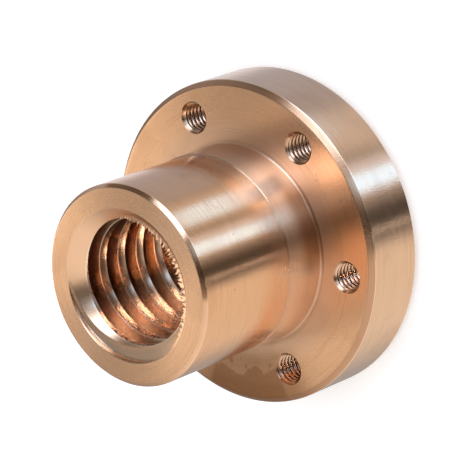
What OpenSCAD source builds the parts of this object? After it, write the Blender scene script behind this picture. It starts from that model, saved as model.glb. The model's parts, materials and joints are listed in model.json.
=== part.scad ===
// Flanged lead screw nut, turned in one piece from bronze bar.
// It stands on the back face of its flange, and +Z runs along the screw towards the nose.
// The lead thread is left-handed and trapezoidal, with one start.

/* [Body] */
// Outside diameter of the flange
flange_d = 62; // [58:0.5:70]
// Thickness of the flange
flange_t = 14; // [10:0.5:18]
// Outside diameter of the fitted collar beside the flange
collar_d = 38; // [37.5:0.1:39]
// Length of the fitted collar, from the front of the flange
collar_l = 8.5; // [4:0.5:12]
// How much the sleeve is relieved below the collar, on the radius
relief = 0.2; // [0.05:0.05:0.4]
// Whole length of the nut
nut_l = 46; // [40:1:60]

/* [Edges] */
// Chamfer at the front rim of the flange
front_chamfer = 1; // [0.5:0.1:2]
// Chamfer at the back rim of the flange
back_chamfer = 1.4; // [0.5:0.1:2]
// Chamfer round the nose
nose_chamfer = 0.7; // [0.3:0.1:1.5]
// Radius of the fillet where the collar meets the flange
root_fillet = 0.5; // [0.3:0.1:1]

/* [Lead thread] */
// Nominal diameter of the screw
screw_d = 28; // [26:1:30]
// Pitch, which is also the lead
pitch = 5; // [4:0.5:6]
// Diameter of the bore across the ridges
bore_d = 23.2; // [22.6:0.1:23.6]
// Clearance between the screw's crest and the bottom of the groove
root_gap = 0.25; // [0.15:0.05:0.5]
// Angle from +X at which the middle of the groove meets the back face
start_angle = 250; // [0:5:355]
// Diameter of the countersink at each end of the bore
mouth_d = 28.8; // [27:0.2:32]
// Angle between the countersink and the bore's axis
mouth_half_angle = 50; // [30:5:60]

/* [Flange holes] */
// Number of tapped holes
hole_count = 6; // [4:1:8]
// Diameter of their circle
hole_circle_d = 50; // [48:0.5:52]
// Drilled diameter of a hole, before tapping
hole_d = 5; // [4.2:0.1:6.8]
// Diameter of the countersink at each end of a hole
hole_mouth_d = 6.2; // [5.5:0.1:8]
// Angle between that countersink and the hole's axis
hole_half_angle = 45; // [30:5:60]

/* [Hidden] */
$fn = 144;

flange_r = flange_d / 2;
collar_r = collar_d / 2;
sleeve_r = collar_r - relief;
crest_r = bore_d / 2;
root_r = screw_d / 2 + root_gap;
half_step = 0.005;                          // difference in radius between the bore's halves
cut_past = 1;                               // how far a cutter runs out past a face

// Trapezoidal thread: each flank leans 15 degrees, and a ridge is 0.366 of the pitch wide
flank_angle = 15;
ridge_w = 0.366 * pitch;
function groove_w(r) = pitch - ridge_w - 2 * (r - crest_r) * tan(flank_angle);

// The cutter's inner face stands inside the bore, where it cuts nothing
cutter_r = [crest_r - cut_past, root_r];
cutter_steps = 48;                          // facets in one turn
cutter_turns = ceil(nut_l / pitch) + 2;

// Turned outline of the flange, collar and sleeve, as [radius, height]
fillet_steps = 8;
function fillet_points() = [
    for (i = [0 : fillet_steps])
        let (a = -90 - 90 * i / fillet_steps)
        [collar_r + root_fillet + root_fillet * cos(a), flange_t + root_fillet + root_fillet * sin(a)]
];
body_outline = concat(
    [
        [0, 0],
        [flange_r - back_chamfer, 0],
        [flange_r, back_chamfer],
        [flange_r, flange_t - front_chamfer],
        [flange_r - front_chamfer, flange_t],
    ],
    fillet_points(),
    [
        [collar_r, flange_t + collar_l],
        [sleeve_r, flange_t + collar_l + relief],
        [sleeve_r, nut_l - nose_chamfer],
        [sleeve_r - nose_chamfer, nut_l],
        [0, nut_l],
    ]
);

module body_blank() {
    rotate_extrude() polygon(body_outline);
}

// Corner k of the cutter's section, after the cutter has turned through angle a
function cutter_point(k, a) =
    let (
        r = cutter_r[k % 3 == 0 ? 0 : 1],
        z = pitch * (a / 360 - 1) + (k < 2 ? -1 : 1) * groove_w(r) / 2
    )
    [r * cos(start_angle - a), r * sin(start_angle - a), z];

// Left-hand helical cutter for the groove between the ridges
module thread_cutter() {
    last = cutter_steps * cutter_turns;
    points = [for (i = [0 : last], k = [0 : 3]) cutter_point(k, i * 360 / cutter_steps)];
    sides = [
        for (i = [0 : last - 1], k = [0 : 3])
            let (a = 4 * i + k, b = 4 * i + (k + 1) % 4)
            each [[a, b + 4, b], [a, a + 4, b + 4]]
    ];
    ends = [[0, 1, 2, 3], [for (k = [3 : -1 : 0]) 4 * last + k]];
    polyhedron(points, concat(sides, ends), convexity = 10);
}

// One half of the bore across the ridges. The halves differ by a few microns in radius,
// so that every turn of the ridge keeps two separate crest faces.
module half_bore(side) {
    rotate(180 * side) translate([0, 0, -cut_past])
        rotate_extrude(angle = 180) square([crest_r + half_step * side, nut_l + 2 * cut_past]);
}

// Countersink of a hole that ends at z = 0, from diameter mouth down to diameter throat
module countersink(mouth, throat, half_angle) {
    slope = tan(half_angle);
    depth = (mouth - throat) / 2 / slope;
    translate([0, 0, -cut_past])
        cylinder(d1 = mouth + 2 * cut_past * slope, d2 = throat - 2 * cut_past * slope,
                 h = depth + 2 * cut_past);
}

// The same countersink at both ends of a hole that is length long
module countersinks(length, mouth, throat, half_angle) {
    countersink(mouth, throat, half_angle);
    translate([0, 0, length]) mirror([0, 0, 1]) countersink(mouth, throat, half_angle);
}

// One tapped hole through the flange
module flange_hole() {
    translate([0, 0, -cut_past]) cylinder(d = hole_d, h = flange_t + 2 * cut_past);
    countersinks(flange_t, hole_mouth_d, hole_d, hole_half_angle);
}

module nut() {
    color([0.80, 0.58, 0.44])
        difference() {
            body_blank();
            for (side = [0, 1]) half_bore(side);
            countersinks(nut_l, mouth_d, bore_d, mouth_half_angle);
            for (i = [0 : hole_count - 1])
                rotate(i * 360 / hole_count) translate([hole_circle_d / 2, 0, 0]) flange_hole();
            thread_cutter();
        }
}

nut();
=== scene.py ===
# %% [markdown]
# # A flanged lead screw nut, turned from one bar of bronze
# The nut rides on a left-handed trapezoidal screw. It is one turned piece: a thick flange with six
# tapped holes, a fitted collar that centres it in its housing, and a long sleeve round the thread.
# So the whole of it is made here as one skin, and every surface of that skin is a formula that
# numpy works out as an array. Lengths are in millimetres until the mesh is written.

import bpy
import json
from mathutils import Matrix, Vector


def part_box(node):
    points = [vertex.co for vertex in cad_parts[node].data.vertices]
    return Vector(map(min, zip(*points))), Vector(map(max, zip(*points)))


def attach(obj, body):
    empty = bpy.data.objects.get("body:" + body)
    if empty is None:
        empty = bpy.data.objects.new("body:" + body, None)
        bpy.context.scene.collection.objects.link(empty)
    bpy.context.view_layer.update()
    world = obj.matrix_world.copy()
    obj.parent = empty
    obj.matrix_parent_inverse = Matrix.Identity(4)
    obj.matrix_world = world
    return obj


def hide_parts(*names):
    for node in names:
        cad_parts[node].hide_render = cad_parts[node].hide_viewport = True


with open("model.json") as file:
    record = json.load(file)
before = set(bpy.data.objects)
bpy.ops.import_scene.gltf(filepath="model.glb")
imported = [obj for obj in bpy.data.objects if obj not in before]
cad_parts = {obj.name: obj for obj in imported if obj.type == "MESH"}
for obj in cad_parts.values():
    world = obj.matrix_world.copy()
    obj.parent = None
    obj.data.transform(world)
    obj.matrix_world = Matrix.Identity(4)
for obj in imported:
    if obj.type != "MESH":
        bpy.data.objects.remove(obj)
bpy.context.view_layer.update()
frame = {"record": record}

import json
import math

import bmesh
import bpy
import numpy as np
from mathutils import Matrix, Vector

MM = 0.001
mounts = {m["name"]: m for m in frame["record"]["mounts"]}
low, high = (np.array(corner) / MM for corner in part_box("nut"))
FLANGE_R = round((high[0] - low[0]) / 2, 1)
NUT_L = round(high[2], 2)
FLANGE_T = mounts["flange_front"]["pos_m"][2] / MM
COLLAR_R = mounts["collar"]["dims"]["r_mm"]
BORE_R = mounts["lead_thread"]["dims"]["r_mm"]
HOLE_CIRCLE_R = mounts["flange_screws"]["dims"]["pcd_mm"] / 2
HOLES = mounts["flange_screws"]["dims"]["count"]
DRILL_R = mounts["flange_screws"]["dims"]["hole_r_mm"]
print(f"nut {2 * FLANGE_R:.1f} across the flange and {NUT_L:.1f} mm long, bore radius {BORE_R}")

# %% [markdown]
# ## The grid that all surfaces share
# A turned surface is a grid: one way round the axis, the other way along the section. Every surface
# here has the same number of columns round the axis, so that neighbours meet point to point and can
# be welded into one skin at the end. 288 columns keep the rim round in a close view.

# %% Grid helpers
COLUMNS = 288
skin = []  # each surface: its points, its faces, and the finish of those faces
TURNED, THREAD, TAPPED = range(3)


def grid_faces(rows, columns):
    """Quads of a grid of rows by columns points: corner, next in the row, next row, and back."""
    corner = np.arange(rows - 1)[:, None] * columns + np.arange(columns - 1)
    return np.stack([corner, corner + 1, corner + columns + 1, corner + columns], -1).reshape(-1, 4)


def add_surface(points, faces, finish, turn=0.0, centre=(0.0, 0.0)):
    """Keeps a surface for the skin, moved to its centre and then turned round the nut's axis."""
    c, s = math.cos(turn), math.sin(turn)
    moved = points.reshape(-1, 3) + np.array([*centre, 0.0])
    skin.append((moved @ np.array([[c, s, 0], [-s, c, 0], [0, 0, 1]]), faces, finish))


def around(count, first=0.0):
    """Angles of a full turn in equal steps, with the first one repeated at the end."""
    return first + np.linspace(0, 2 * math.pi, count + 1)


def revolve(path, angles):
    """Points of a section turned round Z: each (r, z) becomes (r cos a, r sin a, z) at each angle."""
    r, z = path[:, 0], path[:, 1]
    return np.stack([
        np.cos(angles)[:, None] * r,
        np.sin(angles)[:, None] * r,
        np.broadcast_to(z, (len(angles), len(z))),
    ], -1)


def soften(corners, radii, steps=3):
    """A section with its corners eased: each corner is cut back by its radius on both sides, and a
    parabola bridges the cut. A corner of radius 0 stays as it is."""
    corners, share = np.array(corners, float), np.linspace(0, 1, steps + 1)[:, None]
    out = [corners[:1]]
    for before, here, after, radius in zip(corners, corners[1:], corners[2:], radii):
        if radius == 0:
            out.append(here[None])
            continue
        start = here + (before - here) * radius / np.linalg.norm(before - here)
        end = here + (after - here) * radius / np.linalg.norm(after - here)
        out.append((1 - share) ** 2 * start + 2 * share * (1 - share) * here + share**2 * end)
    return np.vstack(out + [corners[-1:]])


# %% [markdown]
# ## The turned outside
# On the lathe this is one path of the tool: up the chamfer of the flange, along its rim, across its
# face, round a small fillet, along the fitted collar, down the tiny step to the relieved sleeve, and
# over the nose. The path is drawn here as a section and turned round the axis. Real edges are never
# knife-sharp, so each corner is eased by a tenth or two: that ease is what catches the light.

# %% Outside surfaces
BACK_CHAMFER, FRONT_CHAMFER, NOSE_CHAMFER = 1.4, 1.0, 0.7
FILLET, COLLAR_L, RELIEF = 0.5, 8.5, 0.2
MOUTH_R = 14.4
RING_OUT, RING_IN = 29.2, 19.8  # the band of the flange's faces that the holes stand in
EASE = 0.12
SLEEVE_R, STEP_Z = COLLAR_R - RELIEF, FLANGE_T + COLLAR_L

rim = soften([
    (RING_OUT, 0), (FLANGE_R - BACK_CHAMFER, 0), (FLANGE_R, BACK_CHAMFER),
    (FLANGE_R, FLANGE_T - FRONT_CHAMFER), (FLANGE_R - FRONT_CHAMFER, FLANGE_T), (RING_OUT, FLANGE_T),
], [EASE] * 4)
sleeve = soften([
    (RING_IN, FLANGE_T), (COLLAR_R, FLANGE_T), (COLLAR_R, STEP_Z), (SLEEVE_R, STEP_Z + RELIEF),
    (SLEEVE_R, NUT_L - NOSE_CHAMFER), (SLEEVE_R - NOSE_CHAMFER, NUT_L), (MOUTH_R, NUT_L),
], [FILLET, 0.05, 0.05, EASE, EASE], steps=4)
back = np.array([(MOUTH_R, 0.0), (RING_IN, 0.0)])
for path in (rim, sleeve, back):
    add_surface(revolve(path, around(COLUMNS)), grid_faces(COLUMNS + 1, len(path)), TURNED)
print(f"outside: {len(rim) + len(sleeve)} points in the section, {COLUMNS} columns")

# %% [markdown]
# ## The faces of the flange, with their six holes
# A grid round the axis can't hold a round hole. So each face is cut into six equal pieces, like a
# cake, and each piece is a grid of its own: from the circle of its hole outwards to its border. The
# border has three times as many points as the circle, so one ring of triangles changes the count.

# %% Flange faces
HOLE_POINTS, ARC, SIDE = 40, COLUMNS // HOLES, 12
HOLE_MOUTH_R, FIRST_RING_R = 3.1, 3.5
FIRST = math.radians(-72)  # where a circle round the hole starts, roughly towards the border's start


def hole_ring(radius, count, first=FIRST):
    """count points of a circle round the hole's centre, in the plane."""
    a = first + np.arange(count) * 2 * math.pi / count
    return np.stack([radius * np.cos(a), radius * np.sin(a)], -1)


def piece_border():
    """Border of one sixth of the ring, seen from the hole: the outer arc, one side, the inner arc
    and the other side, each in equal steps."""
    half = math.pi / HOLES
    arc, share = np.linspace(-half, half, ARC + 1)[:-1], np.linspace(0, 1, SIDE + 1)[:-1]
    side, step = RING_OUT + (RING_IN - RING_OUT) * share, (RING_OUT - RING_IN) / SIDE
    r = np.concatenate([np.full(ARC, RING_OUT), side, np.full(ARC, RING_IN), side[::-1] - step])
    a = np.concatenate([arc, np.full(SIDE, half), -arc, np.full(SIDE, -half)])
    return np.stack([r * np.cos(a), r * np.sin(a)], -1) - np.array([HOLE_CIRCLE_R, 0])


def flange_piece(z):
    """Rings of points that pass step by step from a circle round the hole to the border of the
    piece, with a ring of triangles inside them down to the hole's own circle."""
    count = 3 * HOLE_POINTS
    border, circle = piece_border(), hole_ring(FIRST_RING_R, count)
    share = np.array([0, 0.12, 0.35, 0.65, 1])[:, None, None]
    rings = (1 - share) * circle + share * border
    flat = np.vstack([hole_ring(HOLE_MOUTH_R, HOLE_POINTS), rings.reshape(-1, 2)])
    i = np.arange(count)
    after = (i + 1) % count
    ring_quads = np.stack([i, after, after + count, i + count], -1) + HOLE_POINTS
    quads = np.concatenate([ring_quads + k * count for k in range(len(share) - 1)])
    k = np.arange(HOLE_POINTS)
    fan = [np.stack([k, 3 * k + j + HOLE_POINTS, (3 * k + j + 1) % count + HOLE_POINTS], -1)
           for j in range(3)]
    fan.append(np.stack([k, (3 * k + 3) % count + HOLE_POINTS, (k + 1) % HOLE_POINTS], -1))
    return np.column_stack([flat, np.full(len(flat), z)]), [quads, np.concatenate(fan)]


for hole in range(HOLES):
    for z in (0.0, FLANGE_T):
        points, face_sets = flange_piece(z)
        for faces in face_sets:
            add_surface(points, faces, TURNED, 2 * math.pi * hole / HOLES, (HOLE_CIRCLE_R, 0))
print(f"flange faces: {2 * HOLES} pieces")

# %% [markdown]
# ## Threaded walls
# A thread is a wall whose radius depends only on how far a point is from the nearest turn of the
# helix. If the rows of the grid climb with the helix, a row stays on one edge of the thread all the
# way round, and the edges come out crisp with few points. The same function makes the big
# trapezoidal thread and the small tapped ones: only the section, the lead and the mouths differ.

# %% Thread functions


def thread_radius(angle, z, wall):
    """Radius of the thread: the section, repeated every pitch along Z, read at the height above the
    helix, which climbs by one lead in a turn. A negative lead is a left-hand thread."""
    helix = wall["lead"] * (angle - wall["start"]) / (2 * math.pi)
    section = wall["section"]
    return np.interp(z - helix, section[:, 0], section[:, 1], period=abs(wall["lead"]))


def wall_radius(angle, z, wall):
    """The thread, opened out by the countersink at each end: the larger of the two radii."""
    depth = np.minimum(z - wall["ends"][0], wall["ends"][1] - z)
    mouth_radius = np.interp(depth, wall["mouth"][:, 0], wall["mouth"][:, 1])
    return np.maximum(thread_radius(angle, z, wall), mouth_radius)


def wall_grid(angle, z, wall):
    """Points (r cos a, r sin a, z) of a wall, with its damage added to the radius."""
    r = wall_radius(angle, z, wall)
    if "damage" in wall:
        r = r + wall["damage"](angle, z, r)
    return np.stack([r * np.cos(angle), r * np.sin(angle), z], -1)


def helical_rows(angles, bottom, top, wall):
    """Rows that climb with the helix between two heights. A row is held at the height where it
    leaves the band, so the band ends in flat rings."""
    pitch = abs(wall["lead"])
    turns = np.arange(math.floor(bottom / pitch) - 2, math.ceil(top / pitch) + 3)[:, None]
    rows = (turns * pitch + wall["section"][:-1, 0]).ravel()
    helix = wall["lead"] * (angles - wall["start"]) / (2 * math.pi)
    return np.clip(rows + helix[:, None], bottom, top)


def mouth_rows(angles, bottom, top, count, wall, samples=500, bend_weight=0.35):
    """Rows between two heights, spaced along each column by length plus bend, so that they gather
    where the section turns. The columns are laid end to end and read by one interpolation."""
    z = np.linspace(bottom, top, samples)
    r = wall_radius(angles[:, None], z[None, :], wall)
    dr, dz = np.diff(r, axis=1), np.diff(z)[None, :]
    bend = np.abs(np.diff(np.arctan2(dr, dz), axis=1, prepend=np.arctan2(dr, dz)[:, :1]))
    step = np.hypot(dr, dz) + bend_weight * bend
    along = np.concatenate([np.zeros((len(angles), 1)), np.cumsum(step, 1)], 1)
    along /= along[:, -1:]
    column = 2.0 * np.arange(len(angles))[:, None]
    wanted = np.linspace(0, 1, count)[None, :] + column
    found = np.interp(wanted.ravel(), (along + column).ravel(), np.broadcast_to(z, along.shape).ravel())
    found = found.reshape(len(angles), count)
    found[:, 0], found[:, -1] = bottom, top
    return found


def add_wall(wall, angles, mouth_counts, finish, turn=0.0, centre=(0.0, 0.0)):
    """A whole threaded wall: the mouth at the bottom, the turns between, and the mouth at the top."""
    bottom, top = wall["ends"]
    reach = wall["mouth"][-1, 0] + 0.05
    bands = [mouth_rows(angles, bottom, bottom + reach, mouth_counts[0], wall),
             helical_rows(angles, bottom + reach, top - reach, wall),
             mouth_rows(angles, top - reach, top, mouth_counts[1], wall)]
    for z in bands:
        a = np.broadcast_to(angles[:, None], z.shape)
        add_surface(wall_grid(a, z, wall), grid_faces(*z.shape), finish, turn, centre)


# %% [markdown]
# ## The lead thread
# This is the surface that does the nut's work: a left-hand trapezoidal thread of 5 mm pitch for a
# 28 mm screw. Its ridges are flat on top, their flanks lean 15 degrees, and the groove is a little
# deeper than the screw's crest so that grease has room. At each end a countersink lets the screw
# in, and the groove runs out through it as a thin crescent. The lip was rounded by hand, so it
# is a shallow curve and not a straight cone. A few nicks sit on the ridges near the nose, where
# screws were offered up, and the crescent's thin edge is torn into a ragged fringe.

# %% Lead thread
PITCH, SCREW_R, ROOT_GAP, START = 5.0, 14.0, 0.25, math.radians(250)
RIDGE_W, FLANK = 0.366 * PITCH, math.tan(math.radians(15))
ROOT_R = SCREW_R + ROOT_GAP
GAP_W = PITCH - RIDGE_W  # width of the groove at the bore, between two ridges
ROOT_W = GAP_W - 2 * (ROOT_R - BORE_R) * FLANK
half_section = soften([(0, ROOT_R), (ROOT_W / 2, ROOT_R), (GAP_W / 2, BORE_R), (PITCH / 2, BORE_R)],
                      [0.25, 0.12], steps=2)
section = np.vstack([half_section, (half_section[::-1] * [-1, 1] + [PITCH, 0])[1:]])
MOUTH_ANGLE, LIP_BULGE = math.radians(50), 0.16
MOUTH_DEPTH = (MOUTH_R - BORE_R) / math.tan(MOUTH_ANGLE)
DROP = 0.001  # below its cone a countersink's section drops to radius 0 within this length
lip = np.linspace(0, 1, 9)
lip_radius = MOUTH_R + (BORE_R - MOUTH_R) * (lip + LIP_BULGE * lip * (1 - lip))
mouth = np.vstack([np.column_stack([MOUTH_DEPTH * lip, lip_radius]), [MOUTH_DEPTH + DROP, 0.0]])

# angle in degrees, height, width round the bore and depth of each nick, in millimetres
NICKS = [(118, 41.2, 1.2, 0.16), (152, 36.4, 0.9, 0.12), (176, 41.9, 1.6, 0.14),
         (214, 35.3, 1.0, 0.12), (228, 40.6, 0.8, 0.1), (96, 37.0, 1.0, 0.1)]


def turn_from(angle, middle):
    """Signed angle from the middle of a feature, between half a turn back and half a turn on."""
    return np.mod(angle - middle + math.pi, 2 * math.pi) - math.pi


def nicks(angle, z, radius):
    """Small dents in the ridges: each is a bell curve of the distance along the wall, and only a
    point near the bore's own radius takes it."""
    near_ridge = np.exp(-(((radius - BORE_R) / 0.35) ** 2))
    out = np.zeros_like(z)
    for at, height, width, depth in NICKS:
        round_it = turn_from(angle, math.radians(at)) * BORE_R
        out += depth * np.exp(-((round_it / width) ** 2) - ((z - height) / (0.5 * width)) ** 2)
    return out * near_ridge


TORN_AT, TORN_HALF = math.radians(-25), math.radians(58)
TORN_DEPTH, TORN_WIDTH = 1.5, 0.36
TORN_LOW, TORN_HIGH = NUT_L - 1.9, NUT_L - 0.1
# each wave: how fast it runs with the angle and with the height, and its phase. The speeds aren't
# whole numbers, so the fringe doesn't meet itself after a full turn.
waves = np.random.default_rng(5).uniform([45, 3, 0], [150, 12, 2 * math.pi], (7, 3))


def torn_lip(angle, z, radius):
    """The ragged fringe where the groove runs out through the countersink: its thin edge is pulled
    inwards by a sum of short waves of random direction. The pull fades along the lip, and it is a
    bell curve of the distance from the edge, which is the narrowest place of each column."""
    at_top = (z > TORN_LOW) & (z < TORN_HIGH)
    edge_radius = np.where(at_top, radius, np.inf).min(axis=1, keepdims=True)
    along = turn_from(angle, TORN_AT) / TORN_HALF
    ragged = sum(np.sin(a * angle + b * z + c) for a, b, c in waves) / 2.2
    where = np.exp(-(along**4) - ((radius - edge_radius) / TORN_WIDTH) ** 2) * at_top
    return -TORN_DEPTH * where * np.clip(0.6 + 0.5 * ragged, 0, 1.4)


def damage(angle, z, radius):
    """All damage of the lead thread, as a change of its radius."""
    return nicks(angle, z, radius) + torn_lip(angle, z, radius)


lead_wall = {"lead": -PITCH, "start": START, "section": section, "mouth": mouth,
             "ends": (0.0, NUT_L), "damage": damage}
add_wall(lead_wall, around(COLUMNS), (30, 46), THREAD)
print(f"lead thread: {len(section) - 1} points in the section, groove {GAP_W:.2f} mm wide")

# %% [markdown]
# ## The tapped holes
# Six M6 screws hold the nut, and their holes are tapped right through. These are ordinary
# right-hand 60 degree threads of 1 mm pitch, each with a small countersink that keeps the first turn
# from being pulled up. Each hole's thread starts at its own angle, as a tap leaves it.

# %% Tapped holes
TAP_PITCH, TAP_ROOT_R, TAP_EASE = 1.0, 3.0, 0.03
tap_half = np.array([(0.07, TAP_ROOT_R), (0.35, DRILL_R + TAP_EASE), (0.42, DRILL_R)])  # in pitches
tap_section = np.vstack([tap_half[:1] * [-1, 1], tap_half, tap_half[::-1] * [-1, 1] + [1, 0]])
tap_section = tap_section * [TAP_PITCH, 1]
TAP_DEPTH = HOLE_MOUTH_R - DRILL_R  # the countersinks are 45 degree cones
START_STEP = 1.7  # radians from one hole's start to the next
tap_mouth = np.array([(0, HOLE_MOUTH_R), (TAP_DEPTH, DRILL_R), (TAP_DEPTH + DROP, 0)])
for hole in range(HOLES):
    tap_wall = {"lead": TAP_PITCH, "start": START_STEP * hole, "section": tap_section,
                "mouth": tap_mouth, "ends": (0.0, FLANGE_T)}
    turn = 2 * math.pi * hole / HOLES
    add_wall(tap_wall, around(HOLE_POINTS, FIRST), (8, 8), TAPPED, turn, (HOLE_CIRCLE_R, 0))
print(f"tapped holes: {HOLES}")

# %% [markdown]
# ## Welding the skin
# The surfaces are put into one mesh and the points that coincide are merged. An edge without two
# faces is open, and the count of them shows where neighbours don't meet. That is at one place: the
# torn lip's waves don't repeat after a full turn, so a slit stays open in the fringe where the angle
# starts again. The normals are turned outwards, edges over 35 degrees are kept sharp, and a Weighted
# Normal modifier lets the wide faces stay flat in the shading while the eased edges take the bend.

# %% One welded mesh
WELD, SHARP = 0.002 * MM, math.radians(35)
starts = np.cumsum([0] + [len(points) for points, _, _ in skin])
all_points = np.vstack([points for points, _, _ in skin]) * MM
all_faces = [(faces + first).tolist() for (_, faces, _), first in zip(skin, starts)]
finishes = np.concatenate([np.full(len(faces), finish) for _, faces, finish in skin])
mesh = bpy.data.meshes.new("turned_nut")
mesh.from_pydata(all_points.tolist(), [], sum(all_faces, []))
mesh.polygons.foreach_set("material_index", finishes)

bm = bmesh.new()
bm.from_mesh(mesh)
bmesh.ops.remove_doubles(bm, verts=bm.verts, dist=WELD)
bmesh.ops.delete(bm, geom=[v for v in bm.verts if not v.link_faces], context="VERTS")
bmesh.ops.recalc_face_normals(bm, faces=bm.faces)
open_edges = sum(len(e.link_faces) != 2 for e in bm.edges)
volume = bm.calc_volume(signed=True) / MM**3
bm.to_mesh(mesh)
bm.free()
mesh.shade_smooth()
mesh.set_sharp_from_angle(angle=SHARP)
nut = bpy.data.objects.new("turned_nut", mesh)
bpy.context.collection.objects.link(nut)
shading = nut.modifiers.new("flat_faces_win", "WEIGHTED_NORMAL")
shading.keep_sharp = True
mesh.calc_loop_triangles()
print(f"skin: {len(mesh.loop_triangles)} triangles, {open_edges} open edges, {volume:.0f} cubic mm")

# %% [markdown]
# ## One piece, one solid
# The nut has no moving part, so the skin rides on the root body, and it stands for the whole solid.

# %% Tie the piece to the solid
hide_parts("nut")
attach(nut, "root")
print(f"{nut.name} stands for the solid nut")

# %% [markdown]
# ## Building with shader nodes
# The finish of the metal is a net of small nodes. A few helpers keep the net readable: they add a
# node and fill its inputs, do arithmetic, read a noise, make a soft step, mix two colours and start
# a node group.
# An effect that several finishes share, such as tool marks, is a group: it is built once, and each
# finish sets its own values on it.

# %% Node helpers


def place(tree, kind, sockets=None, **settings):
    """Adds a node, gives it its settings, and fills each input with a number, a colour or a link."""
    new = tree.nodes.new("ShaderNode" + kind)
    for key, value in settings.items():
        setattr(new, key, value)
    for key, value in (sockets or {}).items():
        if isinstance(value, bpy.types.NodeSocket):
            tree.links.new(value, new.inputs[key])
        else:
            new.inputs[key].default_value = value
    return new


def calc(tree, operation, *values):
    """The result of a Math node whose inputs are numbers or sockets."""
    return place(tree, "Math", dict(enumerate(values)), operation=operation).outputs[0]


def length(tree, x, y):
    """The length of a vector in the plane: the square root of x squared plus y squared."""
    return calc(tree, "SQRT", calc(tree, "MULTIPLY_ADD", x, x, calc(tree, "MULTIPLY", y, y)))


def smooth(tree, value, start, end):
    """0 before start and 1 after end, with a smooth step between them. A start above the end turns
    the step round."""
    return place(tree, "MapRange", {"Value": value, "From Min": start, "From Max": end},
                 interpolation_type="SMOOTHSTEP").outputs["Result"]


def noise(tree, vector, scale, detail, dimensions="3D"):
    """A noise between 0 and 1, which is about a half on the whole."""
    return place(tree, "TexNoise", {"Vector": vector, "Scale": scale, "Detail": detail},
                 noise_dimensions=dimensions).outputs[0]


def stretch(tree, vector, scale):
    """A vector times a scale for each of its three parts."""
    return place(tree, "VectorMath", {0: vector, 1: scale}, operation="MULTIPLY").outputs[0]


def between(tree, value, start, end, blur):
    """1 between start and end, with a smooth step of the given width outside each."""
    return calc(tree, "MULTIPLY", smooth(tree, value, start - blur, start),
                calc(tree, "SUBTRACT", 1.0, smooth(tree, value, end, end + blur)))


def blend(tree, share, first, second):
    """A colour between two colours: the share says how much of the second."""
    return place(tree, "Mix", {0: share, 6: first, 7: second}, data_type="RGBA").outputs[2]


def new_group(name, inputs, outputs):
    """An empty node group. Each input is a name and its usual value, each output a name and kind."""
    group = bpy.data.node_groups.new(name, "ShaderNodeTree")
    for socket, value in inputs.items():
        kind = "Color" if isinstance(value, tuple) else "Float"
        made = group.interface.new_socket(socket, in_out="INPUT", socket_type="NodeSocket" + kind)
        made.default_value = value
    for socket, kind in outputs.items():
        group.interface.new_socket(socket, in_out="OUTPUT", socket_type="NodeSocket" + kind)
    return group, group.nodes.new("NodeGroupInput").outputs, group.nodes.new("NodeGroupOutput").inputs


def use(tree, group, **values):
    """Places a group in a tree and fills its inputs. A value's name has _ for each space."""
    sockets = {name.replace("_", " "): value for name, value in values.items()}
    return place(tree, "Group", sockets, node_tree=group)


# %% [markdown]
# ## Coordinates of the lathe
# Everything on this nut was cut while it spun, so its marks follow the axis: a place is best told by
# its radius, its height and its angle. The group works them out from Object coordinates, in
# millimetres. Its Lathe vector is the direction from the axis and a length measured across the tool
# marks. A noise that reads it has no seam where the angle starts again.

# %% Lathe coordinates
lathe, _, told = new_group("lathe_coordinates", {}, {
    "Radius": "Float", "Height": "Float", "Turn": "Float", "Lathe": "Vector", "Millimetres": "Vector"})
metres = place(lathe, "TexCoord").outputs["Object"]
millimetres = stretch(lathe, metres, (1 / MM, 1 / MM, 1 / MM))
at = place(lathe, "SeparateXYZ", {0: millimetres}).outputs
radius = length(lathe, at["X"], at["Y"])
vector = place(lathe, "CombineXYZ", {
    0: calc(lathe, "DIVIDE", at["X"], radius), 1: calc(lathe, "DIVIDE", at["Y"], radius),
    2: calc(lathe, "SUBTRACT", at["Z"], radius)}).outputs[0]
for socket, value in {
        "Radius": radius, "Height": at["Z"], "Lathe": vector, "Millimetres": millimetres,
        "Turn": calc(lathe, "ARCTAN2", at["Y"], at["X"])}.items():
    lathe.links.new(value, told[socket])
print(f"group {lathe.name}: {len(lathe.nodes)} nodes")

# %% [markdown]
# ## Tool marks
# The tool's nose leaves a groove every tenth of a millimetre or so, and its small chatter leaves
# broader bands. Both run round the part for a good way and then fade. A noise does this when it is
# stretched: it changes quickly across the marks and slowly along them.

# %% Tool marks
marks, given, told = new_group(
    "tool_marks", {"Per mm": 5.0, "Arc": 2.0}, {"Fine": "Float", "Bands": "Float"})
across = use(marks, lathe).outputs["Lathe"]
for socket, speed in {"Fine": 1.0, "Bands": 0.17}.items():
    per_mm = calc(marks, "MULTIPLY", given["Per mm"], speed)
    scale = place(marks, "CombineXYZ", {0: given["Arc"], 1: given["Arc"], 2: per_mm}).outputs[0]
    marks.links.new(noise(marks, stretch(marks, across, scale), 1.0, 2.0), told[socket])
print(f"group {marks.name}: {len(marks.nodes)} nodes")

# %% [markdown]
# ## Scratches
# A bright turned surface is marked by every part that it was stacked against. A scratch is a thin
# line, straight or a little bent. It is the line where a stretched noise passes through its middle
# value, shown only inside a few patches.

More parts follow.
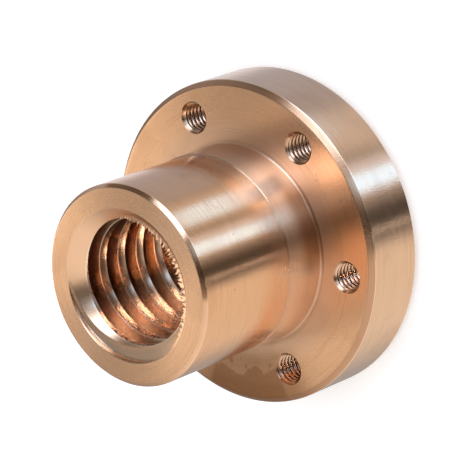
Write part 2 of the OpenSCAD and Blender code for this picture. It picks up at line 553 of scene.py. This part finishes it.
# %% Scratches
scratches, given, told = new_group(
    "scratches", {"Lean": 30.0, "Width": 0.01, "Patches": 0.55}, {"Mask": "Float"})
here = use(scratches, lathe).outputs
round_it = calc(scratches, "MULTIPLY", here["Turn"], here["Radius"])
along_it = calc(scratches, "SUBTRACT", here["Height"], here["Radius"])
unrolled = place(scratches, "CombineXYZ", {0: round_it, 1: along_it}).outputs[0]
lean = calc(scratches, "RADIANS", given["Lean"])
leaning = place(scratches, "VectorRotate", {"Vector": unrolled, "Angle": lean},
                rotation_type="Z_AXIS").outputs[0]
ALONG, ACROSS = 0.035, 0.9  # how fast the noise changes along a scratch and across it, per mm
wavy = noise(scratches, stretch(scratches, leaning, (ALONG, ACROSS, 1.0)), 1.0, 1.0, "2D")
off_line = calc(scratches, "ABSOLUTE", calc(scratches, "SUBTRACT", wavy, 0.5))
line = calc(scratches, "SUBTRACT", 1.0, smooth(scratches, off_line, 0.0, given["Width"]))
patch = noise(scratches, leaning, 0.14, 2.0, "2D")
full = calc(scratches, "ADD", given["Patches"], 0.08)
shown = smooth(scratches, patch, given["Patches"], full)
scratches.links.new(calc(scratches, "MULTIPLY", line, shown), told["Mask"])
print(f"group {scratches.name}: {len(scratches.nodes)} nodes")

# %% [markdown]
# ## Pits
# Cast bronze has a few pinholes, and chips that the tool dragged leave small dents. Voronoi cells give
# each a place and a random number. Only the few cells with a high number show a pit.

# %% Pits
pits, given, told = new_group(
    "pits", {"Per mm": 0.8, "Share": 0.1, "Size": 0.15}, {"Mask": "Float"})
where = use(pits, lathe).outputs["Millimetres"]
cells = place(pits, "TexVoronoi", {"Vector": where, "Scale": given["Per mm"]}).outputs
chance = place(pits, "SeparateColor", {0: cells["Color"]}).outputs[0]
chosen = calc(pits, "GREATER_THAN", chance, calc(pits, "SUBTRACT", 1.0, given["Share"]))
hollow = calc(pits, "SUBTRACT", 1.0, smooth(pits, cells["Distance"], 0.0, given["Size"]))
pits.links.new(calc(pits, "MULTIPLY", hollow, chosen), told["Mask"])
print(f"group {pits.name}: {len(pits.nodes)} nodes")

# %% [markdown]
# ## Worn edges
# Hands, rags and boxes rub an edge first, so it is smoother and a little paler than the faces beside
# it. Every edge of a turned part is a ring. The group gives the nearness to one ring, told by its
# radius and height, and takes the mask of the rings before it, so a chain of groups has them all.

# %% Worn edges
# The same nearness also places the painted shade in the step beside the collar.
worn, given, told = new_group(
    "ring_nearness", {"Ring Radius": 10.0, "Ring Height": 0.0, "Reach": 0.17, "So Far": 0.0},
    {"Mask": "Float"})
here = use(worn, lathe).outputs
aside = calc(worn, "SUBTRACT", here["Radius"], given["Ring Radius"])
above = calc(worn, "SUBTRACT", here["Height"], given["Ring Height"])
gap = length(worn, aside, above)
patchy = noise(worn, here["Millimetres"], 0.9, 3.0)
reach = calc(worn, "MULTIPLY", given["Reach"], calc(worn, "ADD", patchy, 0.5))
near = calc(worn, "SUBTRACT", 1.0, smooth(worn, gap, 0.0, reach))
worn.links.new(calc(worn, "MAXIMUM", near, given["So Far"]), told["Mask"])
print(f"group {worn.name}: {len(worn.nodes)} nodes")

# %% [markdown]
# ## Building a finish
# All three finishes are built alike. Each is a metal, so its colour is the colour of its reflection.
# Colours are laid over each other by masks, and the roughness and the height are sums of masks. In
# the two finishes that were cut on the lathe, the tangent runs round the axis, so the tool marks
# stretch a reflection across themselves: that anisotropy is what makes metal look turned.

# %% Finish helpers
WARM_BRONZE, PALE_BRONZE = (0.90, 0.52, 0.30, 1), (0.89, 0.58, 0.385, 1)
# The brown film and dark oil colours serve as real film and oil, and also as painted shade and painted dark
# reflections.
BRIGHT_EDGE, BROWN_FILM_AND_SHADE, DARK_OIL_AND_SHADE = (0.97, 0.74, 0.55, 1), (0.45, 0.21, 0.10, 1), (0.30, 0.13, 0.055, 1)


def metal(name, roughness, anisotropic):
    """A metal material with its Principled shader, and the tangent that runs round the axis."""
    made = bpy.data.materials.new(name)
    made.use_nodes = True
    tree = made.node_tree
    shader = tree.nodes["Principled BSDF"]
    for socket, value in {"Metallic": 1.0, "Roughness": roughness, "Anisotropic": anisotropic,
                          "Anisotropic Rotation": 0.25}.items():
        shader.inputs[socket].default_value = value
    if anisotropic:
        round_it = place(tree, "Tangent", direction_type="RADIAL", axis="Z")
        tree.links.new(round_it.outputs[0], shader.inputs["Tangent"])
    return made, tree, shader.inputs


def clouds(tree, where, per_mm, start, end):
    """Soft patches: a noise of the given scale, stepped between two of its values."""
    return smooth(tree, noise(tree, where, per_mm, 4.0), start, end)


def sector(tree, here, first, last, blur):
    """1 between two angles round the nut, in degrees, with a soft step of the given width."""
    return between(tree, here["Turn"], *(math.radians(d) for d in (first, last, blur)))


def lay(tree, colour, mask, share, over):
    """A colour with another laid over it: the mask says where, and the share says how much."""
    return blend(tree, calc(tree, "MULTIPLY", mask, share), colour, over)


def weigh(tree, total, *pairs):
    """Adds masks to a total, each times its weight."""
    for mask, weight in pairs:
        total = calc(tree, "MULTIPLY_ADD", mask, weight, total)
    return total


def heights(tree, *pairs):
    """The normal of a surface whose height in millimetres is a sum of masks times weights."""
    height = weigh(tree, 0.0, *pairs)
    return place(tree, "Bump", {"Height": height, "Strength": 1.0, "Distance": MM}).outputs[0]


# %% [markdown]
# ## Turned bronze
# Tin bronze fresh from the lathe is a warm pink gold. The rim, the nose and the fitted collar are
# painted a paler bronze, a painted sheen that stands in for their paler reflections. A thin brown film,
# the hollows of the tool marks, and pits make the colour a little darker here and there, and the edges
# are rubbed bright.

# %% Turned bronze
turned, tree, shader = metal("turned_bronze", 0.2, 0.9)
here = use(tree, lathe).outputs
mark = use(tree, marks, Per_mm=5.0, Arc=2.5).outputs
scratch = calc(tree, "MAXIMUM", use(tree, scratches, Lean=28.0).outputs[0],
               use(tree, scratches, Lean=-52.0, Patches=0.6).outputs[0])
pit = use(tree, pits, Per_mm=0.7, Share=0.06).outputs[0]
film = clouds(tree, here["Millimetres"], 0.11, 0.5, 0.75)
edge = 0.0
for ring_radius, ring_height in [
        (FLANGE_R - BACK_CHAMFER, 0), (FLANGE_R, BACK_CHAMFER), (FLANGE_R, FLANGE_T - FRONT_CHAMFER),
        (FLANGE_R - FRONT_CHAMFER, FLANGE_T), (SLEEVE_R, NUT_L - NOSE_CHAMFER),
        (SLEEVE_R - NOSE_CHAMFER, NUT_L), (MOUTH_R, NUT_L), (MOUTH_R, 0)]:
    edge = use(tree, worn, Ring_Radius=ring_radius, Ring_Height=ring_height, So_Far=edge).outputs[0]

# Painted sheen: the rim, the nose and the fitted collar get a paler bronze in place of paler reflections.
rim_painted_sheen = smooth(tree, here["Radius"], FLANGE_R - 1.2, FLANGE_R - 0.4)
nose_painted_sheen = calc(tree, "MULTIPLY", smooth(tree, here["Height"], NUT_L - 1.0, NUT_L - 0.5), 0.2)
fitted = calc(tree, "MULTIPLY", smooth(tree, here["Radius"], COLLAR_R + 7.0, COLLAR_R + 0.5),
              smooth(tree, here["Height"], STEP_Z + 6.0, STEP_Z + 1.0))
painted_sheen = calc(tree, "MAXIMUM", calc(tree, "MAXIMUM", rim_painted_sheen, nose_painted_sheen), fitted)
colour = blend(tree, painted_sheen, WARM_BRONZE, PALE_BRONZE)
colour = lay(tree, colour, film, 0.16, BROWN_FILM_AND_SHADE)
colour = lay(tree, colour, smooth(tree, mark["Fine"], 0.45, 0.3), 0.2, BROWN_FILM_AND_SHADE)
colour = lay(tree, colour, pit, 0.7, BROWN_FILM_AND_SHADE)
colour = lay(tree, colour, edge, 0.3, BRIGHT_EDGE)

# %% [markdown]
# ## Painted shade
# The brown film colour is laid as painted shade on the front chamfer, in the tiny step beside the
# collar, in the corner where the collar meets the flange, and on one sector of the flange's faces,
# which ends in a ragged line. The dark oil colour is a painted dark reflection on two stretches of the
# nose's chamfer. Each is a mask made from the radius, the height and the angle.

# %% Painted shade by place
# Painted shade: the front chamfer is browned all round to darken its reflection.
chamfer_painted_shade = calc(
    tree, "MULTIPLY", between(tree, here["Radius"], FLANGE_R - FRONT_CHAMFER, FLANGE_R - 0.15, 0.1),
    between(tree, here["Height"], FLANGE_T - 0.85, FLANGE_T + 0.1, 0.1))
colour = lay(tree, colour, chamfer_painted_shade, 0.7, BROWN_FILM_AND_SHADE)

# Painted shade: one sector of the flange's faces is browned, darker towards the rim and beyond a ragged
# line.
shade_edge_radius = weigh(tree, 22.5, (clouds(tree, here["Millimetres"], 0.3, 0.3, 0.7), 4.0))
shade_sector_edge = calc(tree, "MULTIPLY", sector(tree, here, -160, -127, 3),
             calc(tree, "GREATER_THAN", here["Radius"], shade_edge_radius))
shade_sector = calc(tree, "MULTIPLY", sector(tree, here, -160, -122, 14),
               smooth(tree, here["Radius"], COLLAR_R + 1.0, COLLAR_R + 4.0))
outer = calc(tree, "MULTIPLY", shade_sector, smooth(tree, here["Radius"], FLANGE_R - 5.0, FLANGE_R - 2.0))
colour = blend(tree, weigh(tree, 0.0, (shade_sector, 0.52), (shade_sector_edge, 0.35), (outer, 0.2)), colour, BROWN_FILM_AND_SHADE)

# Painted shade: the tiny step beside the collar is browned so that it shines less.
step_painted_shade = use(tree, worn, Ring_Radius=COLLAR_R - 0.1, Ring_Height=STEP_Z + 0.1, Reach=0.3).outputs[0]
colour = lay(tree, colour, step_painted_shade, 0.7, BROWN_FILM_AND_SHADE)

# Painted shade: the corner where the collar meets the flange is browned, more on one side.
corner_painted_shade = calc(tree, "MULTIPLY", smooth(tree, here["Radius"], COLLAR_R + 1.0, COLLAR_R + 0.5),
                 smooth(tree, here["Height"], FLANGE_T + 6.5, FLANGE_T + 2.5))
shaded_side = weigh(tree, 0.25, (sector(tree, here, -48, -18, 17), 0.6))
colour = blend(tree, calc(tree, "MULTIPLY", corner_painted_shade, shaded_side), colour, BROWN_FILM_AND_SHADE)

# Painted dark reflection: two stretches of the nose's chamfer are darkened with the dark oil colour.
CHAMFER_R, CHAMFER_Z = SLEEVE_R - NOSE_CHAMFER, NUT_L - NOSE_CHAMFER
on_nose = calc(tree, "MULTIPLY", smooth(tree, here["Height"], CHAMFER_Z, CHAMFER_Z + 0.1),
               smooth(tree, here["Radius"], CHAMFER_R, CHAMFER_R + 0.1))
dark_reflection_stretches = calc(tree, "MAXIMUM", sector(tree, here, 16, 44, 6), sector(tree, here, -50, -19, 5))
colour = lay(tree, colour, calc(tree, "MULTIPLY", on_nose, dark_reflection_stretches), 0.8, DARK_OIL_AND_SHADE)
tree.links.new(colour, shader["Base Color"])
print(f"material {turned.name}: {len(tree.nodes)} nodes for the colour")

# %% [markdown]
# ## The touch of turned bronze
# The rim and the sleeve were cut last, with a fine feed, and mirror the room. The faces and the fitted
# collar are duller. The tool marks, a fine grain, the scratches and the pits are a few thousandths
# of a millimetre high or deep, which is enough to break up a reflection.

# %% Roughness and height
on_rim = smooth(tree, here["Radius"], FLANGE_R - 0.5, FLANGE_R - 0.1)
on_sleeve = calc(tree, "MULTIPLY", smooth(tree, here["Height"], STEP_Z - 0.1, STEP_Z + 0.2),
                 smooth(tree, here["Height"], NUT_L - 0.3, NUT_L - 0.6))
bright_wall = calc(tree, "MAXIMUM", on_rim, on_sleeve)
rough = weigh(tree, 0.22, (bright_wall, -0.12), (fitted, 0.09), (mark["Bands"], 0.08), (film, 0.05),
              (scratch, 0.09))
tree.links.new(rough, shader["Roughness"])
grain = noise(tree, here["Millimetres"], 3.8, 2.0)
tree.links.new(heights(tree, (mark["Fine"], 0.005), (mark["Bands"], 0.012), (grain, 0.014),
                       (scratch, -0.002), (pit, -0.03)), shader["Normal"])
mesh.materials.append(turned)
print(f"material {turned.name}: {len(tree.nodes)} nodes in all")

# %% [markdown]
# ## Threaded bronze
# The bore has worked. Old oil and bronze dust lie on its flanks and in the grooves as a brown film,
# which is painted shade too: it covers the whole thread but one side. That side, round 212 degrees, is
# painted light, a paler bronze. A ridge's corners are paler, partly rubbed and partly a painted
# highlight. The countersink at each end stays as the tool left it. All of it is one material: masks
# made from the radius, the height and the angle say where each state is.

# %% Threaded bronze
CUT_BRONZE, FLANK_BRONZE, LIT_SIDE_BRONZE = (0.90, 0.55, 0.34, 1), (0.82, 0.53, 0.35, 1), (0.95, 0.68, 0.47, 1)
LIT_SIDE_AT = math.radians(212)  # the middle of the side that is painted lit
threaded, tree, shader = metal("threaded_bronze", 0.26, 0.7)
here = use(tree, lathe).outputs
mark = use(tree, marks, Per_mm=3.0, Arc=3.0).outputs

end_gap = calc(tree, "MINIMUM", here["Height"], calc(tree, "SUBTRACT", NUT_L, here["Height"]))
cone_depth = calc(tree, "MULTIPLY", calc(tree, "SUBTRACT", MOUTH_R, here["Radius"]),
                  MOUTH_DEPTH / (MOUTH_R - BORE_R))
in_thread = smooth(tree, calc(tree, "SUBTRACT", end_gap, cone_depth), 0.2, 0.5)
crest = smooth(tree, here["Radius"], BORE_R + 0.08, BORE_R + 0.02)
# Ridge corners: partly rubbed, partly a painted highlight that brightens their thin lines.
corner = between(tree, here["Radius"], BORE_R + 0.03, BORE_R + 0.15, 0.07)
on_ridge = smooth(tree, here["Radius"], BORE_R + 0.5, BORE_R + 0.1)

# Painted light: the side of the bore round 212 degrees is painted a paler bronze.
toward_lit_side = calc(tree, "COSINE", calc(tree, "SUBTRACT", here["Turn"], LIT_SIDE_AT))
painted_lit_side = calc(tree, "MULTIPLY", smooth(tree, toward_lit_side, 0.35, 0.9), weigh(tree, 0.73, (on_ridge, 0.25)))
# Oil film and painted shade: the dark film covers the whole thread except the painted lit side.
oil_and_shade = calc(tree, "MULTIPLY", in_thread, calc(tree, "SUBTRACT", 1.0, painted_lit_side))
oil_and_shade_share = weigh(tree, 0.76, (clouds(tree, here["Millimetres"], 0.25, 0.35, 0.7), 0.2))
colour = blend(tree, in_thread, CUT_BRONZE, blend(tree, painted_lit_side, FLANK_BRONZE, LIT_SIDE_BRONZE))
colour = lay(tree, colour, oil_and_shade, oil_and_shade_share, DARK_OIL_AND_SHADE)
colour = lay(tree, colour, calc(tree, "MULTIPLY", crest, oil_and_shade), 0.75, BROWN_FILM_AND_SHADE)
# Partly a painted highlight: the ridge corners get the bright edge colour.
colour = lay(tree, colour, corner, 0.85, BRIGHT_EDGE)
tree.links.new(colour, shader["Base Color"])
tree.links.new(weigh(tree, 0.2, (mark["Bands"], 0.12)), shader["Roughness"])
grain = noise(tree, here["Millimetres"], 2.4, 3.0)
tree.links.new(heights(tree, (mark["Fine"], 0.003), (mark["Bands"], 0.01), (grain, 0.006)), shader["Normal"])
mesh.materials.append(threaded)
print(f"material {threaded.name}: {len(tree.nodes)} nodes")

# %% [markdown]
# ## Tapped bronze
# A tap leaves a small, torn-looking thread that holds a little oil. Its marks run round each hole and
# not round the nut, so this finish has no stretched reflection, only grain and patches of film. The
# oil is darkest at the bottom of the thread. A point is told by its distance from the nearest hole:
# the angle is folded, so that it counts from 0 at each hole, and the cosine rule gives the distance.

# %% Tapped bronze
tapped, tree, shader = metal("tapped_bronze", 0.28, 0.0)
here = use(tree, lathe).outputs
folded = calc(tree, "PINGPONG", here["Turn"], math.pi / HOLES)
less = weigh(tree, here["Radius"], (calc(tree, "COSINE", folded), -2 * HOLE_CIRCLE_R))
from_hole = calc(tree, "SQRT", calc(tree, "MULTIPLY_ADD", here["Radius"], less, HOLE_CIRCLE_R**2))
deep = smooth(tree, from_hole, DRILL_R + 0.1, TAP_ROOT_R - 0.05)
patches = clouds(tree, here["Millimetres"], 0.5, 0.35, 0.65)
colour = blend(tree, weigh(tree, 0.0, (patches, 0.3), (deep, 0.6)), PALE_BRONZE, DARK_OIL_AND_SHADE)
tree.links.new(colour, shader["Base Color"])
grain = noise(tree, here["Millimetres"], 3.0, 3.0)
tree.links.new(weigh(tree, 0.12, (grain, 0.2)), shader["Roughness"])
tree.links.new(heights(tree, (grain, 0.008)), shader["Normal"])
mesh.materials.append(tapped)
print(f"material {tapped.name}: {len(tree.nodes)} nodes")

# %% [markdown]
# ## Camera
# The camera looks down on the nose from above the sleeve, through a long lens from about half a metre,
# and it is rolled on its side. So the nut, which stands on its flange, seems to lie with its nose
# towards the viewer.

# %% Camera
AIM, DISTANCE = Vector((0.94, 1.61, 14.72)) * MM, 562.35 * MM
AZIMUTH, ELEVATION, ROLL = (math.radians(d) for d in (-30.37, 46.58, -110.30))
LENS, NEAR, FAR = 231.5, 0.05, 10.0
away = Vector((math.cos(ELEVATION) * math.cos(AZIMUTH), math.cos(ELEVATION) * math.sin(AZIMUTH),
               math.sin(ELEVATION)))
facing_back = away.to_track_quat("Z", "Y").to_matrix().to_4x4()
camera = bpy.data.objects.new("camera", bpy.data.cameras.new("camera"))
camera.data.lens, camera.data.clip_start, camera.data.clip_end = LENS, NEAR, FAR
camera.matrix_world = (Matrix.Translation(AIM + DISTANCE * away) @ facing_back
                       @ Matrix.Rotation(ROLL, 4, "Z"))
bpy.context.collection.objects.link(camera)
bpy.context.scene.camera = camera
print(f"camera {DISTANCE / MM:.0f} mm from its aim, lens {LENS} mm")

# %% [markdown]
# ## A panel of the studio
# Polished metal shows the room, so the room has to be built. Here it is a sky of soft panels: each has
# a left and a right edge, a bottom and a top, in degrees, and hides what is behind it. The group takes
# the colour behind and gives the colour with the panel in front, so panels are hung one after another.

# %% Studio panel
panel, given, result = new_group("studio_panel", {
    "Azimuth": 0.0, "Elevation": 0.0, "Behind": (0, 0, 0, 1), "Colour": (1, 1, 1, 1),
    "Left": 0.0, "Left Blur": 1.0, "Right": 0.0, "Right Blur": 1.0,
    "Bottom": -90.0, "Top": 90.0, "Blur": 10.0,
}, {"Colour": "Color"})


def past(value, at, blur):
    """0 before a panel's edge and 1 past it, over the width of the blur."""
    half = calc(panel, "MULTIPLY", blur, 0.5)
    return smooth(panel, value, calc(panel, "SUBTRACT", at, half), calc(panel, "ADD", at, half))


inside = calc(panel, "SUBTRACT", past(given["Azimuth"], given["Left"], given["Left Blur"]),
              past(given["Azimuth"], given["Right"], given["Right Blur"]))
level = calc(panel, "SUBTRACT", past(given["Elevation"], given["Bottom"], given["Blur"]),
             past(given["Elevation"], given["Top"], given["Blur"]))
cover = calc(panel, "MULTIPLY", inside, level)
panel.links.new(blend(panel, cover, given["Behind"], given["Colour"]), result["Colour"])
print(f"group {panel.name}: {len(panel.nodes)} nodes")

# %% [markdown]
# ## The studio
# Pale walls, a few dark cards that draw the long dark bands down the sleeve, and a narrow bright strip
# between them. Each row is a left edge with its blur, a right edge with its blur, the bottom, the top
# and their blur, all in degrees, and then a strength and a tint. The camera and the paper under the
# nut see plain white instead, so the tints stay in the metal.

# %% World
WHITE, BACKDROP = (1, 1, 1, 1), (0.4, 0.4, 0.4, 1)
WARM, PLAIN, CLEAR = (1.0, 0.96, 0.88), (1.0, 1.0, 1.0), (0.98, 1.0, 1.06)
COOL, BLUE, ICE = (0.94, 1.04, 1.25), (0.85, 1.1, 1.5), (0.75, 1.2, 1.85)
PANELS = {
    "ceiling": (-200, 1, 200, 1, 68, 100, 14, 0.15, PLAIN),
    "far_wall": (108, 36, 150, 12, -90, 0, 14, 0.92, CLEAR),
    "low_gap": (90, 12, 134, 10, -30, 0, 10, 0.2, PLAIN),
    "far_wall_high": (126, 16, 150, 9, 4, 42, 12, 1.75, WARM),
    "far_gap": (156, 6, 182, 10, 5, 44, 12, 0.32, PLAIN),
    "roof_left": (146, 16, 200, 1, 46, 68, 10, 0.68, WARM),
    "roof_right": (-200, 1, -140, 30, 52, 90, 10, 0.2, COOL),
    "side_wall": (-156, 56, -66, 12, -90, 90, 10, 0.83, WARM),
    "side_wall_high": (-156, 50, -67, 14, 0, 66, 16, 0.98, PLAIN),
    "side_roof": (-156, 30, -60, 14, 68, 100, 10, 0.15, PLAIN),
    "grey_card": (-64.5, 9, -29, 1.5, -90, 60, 20, 0.42, PLAIN),
    "black_card": (-61, 6, -36, 16, -90, 60, 20, 0.085, PLAIN),
    "card_gap": (-56, 1, -54, 1, -90, 60, 20, 1.1, PLAIN),
    "strip_frame": (-29.3, 1.5, -5, 5, -90, 49, 6, 0.8, COOL),
    "strip": (-26, 3, -13.5, 3, -90, 49, 6, 1.4, ICE),
    "black_card_high": (-63, 10, -14, 14, 49, 90, 6, 0.13, PLAIN),
    "window_low": (4, 16, 40, 16, -90, 10, 20, 0.64, PLAIN),
    "window_high": (0, 20, 42, 16, 0, 68, 16, 2.9, BLUE),
    "cool_wall": (44, 20, 112, 40, -90, 14, 20, 0.47, COOL),
    "corner_card": (56, 10, 98, 20, 14, 90, 20, 0.2, PLAIN),
}
world = bpy.data.worlds.new("studio")
bpy.context.scene.world = world
world.use_nodes = True
tree = world.node_tree
direction = place(tree, "SeparateXYZ", {0: place(tree, "TexCoord").outputs["Generated"]}).outputs
azimuth = calc(tree, "DEGREES", calc(tree, "ARCTAN2", direction["Y"], direction["X"]))
elevation = calc(tree, "DEGREES", calc(tree, "ARCSINE", direction["Z"]))
colour = BACKDROP
for name, (left, left_blur, right, right_blur, bottom, top, blur, strength, tint) in PANELS.items():
    hung = use(tree, panel, Azimuth=azimuth, Elevation=elevation, Behind=colour,
               Left=left, Left_Blur=left_blur, Right=right, Right_Blur=right_blur,
               Bottom=bottom, Top=top, Blur=blur, Colour=(*(strength * t for t in tint), 1))
    hung.name = name
    colour = hung.outputs[0]
rays = place(tree, "LightPath").outputs
plain = calc(tree, "MAXIMUM", rays["Is Camera Ray"], rays["Is Diffuse Ray"])
tree.links.new(blend(tree, plain, colour, WHITE), tree.nodes["Background"].inputs["Color"])
bpy.context.scene.view_settings.view_transform = "Standard"
print(f"studio: {len(PANELS)} panels")

# %% [markdown]
# ## Two cards close to the nut
# The sleeve shows a wide bright window that the flange's rim doesn't, so that light is close by: a
# curved card beside the flange, low enough that only the sleeve's reflections reach it. The second
# card stands behind the nut's open end and lights the bore from there. It glows only for a ray that
# has met two mirrors, as every ray through the bore has, so the back face doesn't show it.

# %% Near cards


def glow_card(name, corners, cover, colour, strength, mirrors=1):
    """A card that only reflections can see, after at least the given number of mirrors. corners is a
    strip of points in two rows, in millimetres, and cover turns the lathe coordinates into how much
    of the card glows at a place."""
    made = bpy.data.meshes.new(name)
    faces = grid_faces(2, corners.shape[1])
    made.from_pydata((corners.reshape(-1, 3) * MM).tolist(), [], faces.tolist())
    card = bpy.data.objects.new(name, made)
    bpy.context.collection.objects.link(card)
    glow = bpy.data.materials.new(name)
    glow.use_nodes = True
    tree = glow.node_tree
    tree.nodes.clear()
    path = place(tree, "LightPath").outputs
    seen = calc(tree, "MULTIPLY", path["Is Glossy Ray"],
                calc(tree, "GREATER_THAN", path["Glossy Depth"], mirrors - 0.5))
    shown = calc(tree, "MULTIPLY", cover(tree, use(tree, lathe).outputs), seen)
    light = place(tree, "Emission", {"Color": colour, "Strength": strength}).outputs[0]
    clear = place(tree, "BsdfTransparent").outputs[0]
    mixed = place(tree, "MixShader", {0: shown, 1: clear, 2: light})
    tree.links.new(mixed.outputs[0], place(tree, "OutputMaterial").inputs["Surface"])
    made.materials.append(glow)
    print(f"card {name}: glows at strength {strength}")


def upright(line, bottom, top):
    """Two rows of points: a line in the plane at a low and at a high level."""
    return np.stack([np.column_stack([line, np.full(len(line), z)]) for z in (bottom, top)])


WINDOW_R, WINDOW_BOTTOM, WINDOW_TOP = 60, -17, 6
BORE_CARD_Y, BORE_CARD_BOTTOM, BORE_CARD_TOP = -14.0, -32, -0.5


def window_cover(tree, here):
    """The window glows on a short stretch of its arc, and fades out towards its top."""
    return calc(tree, "MULTIPLY", between(tree, calc(tree, "DEGREES", here["Turn"]), 7, 16, 9),
                smooth(tree, here["Height"], WINDOW_TOP, WINDOW_TOP - 3.0))


def bore_cover(tree, here):
    """The bore's card glows over its height, apart from a soft border."""
    return between(tree, here["Height"], BORE_CARD_BOTTOM + 6.0, BORE_CARD_TOP - 3.5, 4.0)


bend = np.radians(np.linspace(-12, 46, 30))
arc = WINDOW_R * np.stack([np.cos(bend), np.sin(bend)], -1)
glow_card("window_card", upright(arc, WINDOW_BOTTOM, WINDOW_TOP), window_cover, (*ICE, 1), 1.35)
line = np.array([(-14.0, BORE_CARD_Y), (18.0, BORE_CARD_Y)])
glow_card("bore_card", upright(line, BORE_CARD_BOTTOM, BORE_CARD_TOP), bore_cover,
          (1.0, 1.0, 1.05, 1), 22.0, mirrors=2)

# %% [markdown]
# ## The floor
# A sheet of white paper. It glows a little, so that it stays white, and it keeps the nut's soft
# shadow. The metal doesn't see it, and it isn't there from below, so the back face can be looked at.

# %% Floor
HALF = 2.0  # metres from the middle of the sheet to its border
floor_mesh = bpy.data.meshes.new("floor")
sheet = [(-HALF, -HALF, 0), (HALF, -HALF, 0), (HALF, HALF, 0), (-HALF, HALF, 0)]
floor_mesh.from_pydata(sheet, [], [(0, 1, 2, 3)])
floor = bpy.data.objects.new("floor", floor_mesh)
bpy.context.collection.objects.link(floor)
paper = bpy.data.materials.new("floor_paper")
paper.use_nodes = True
tree = paper.node_tree
tree.nodes.clear()
matt = place(tree, "BsdfDiffuse", {"Color": (0.9, 0.9, 0.9, 1)}).outputs[0]
glow = place(tree, "Emission", {"Color": WHITE, "Strength": 0.3}).outputs[0]
both = place(tree, "AddShader", {0: matt, 1: glow}).outputs[0]
path = place(tree, "LightPath").outputs
below = place(tree, "NewGeometry").outputs["Backfacing"]
unseen = below
for kind in ("Is Glossy Ray", "Is Transmission Ray", "Is Shadow Ray"):
    unseen = calc(tree, "MAXIMUM", unseen, path[kind])
clear = place(tree, "BsdfTransparent").outputs[0]
shown = place(tree, "MixShader", {0: unseen, 1: both, 2: clear})
tree.links.new(shown.outputs[0], place(tree, "OutputMaterial").inputs["Surface"])
floor_mesh.materials.append(paper)
print(f"floor: a sheet {2 * HALF} m wide")
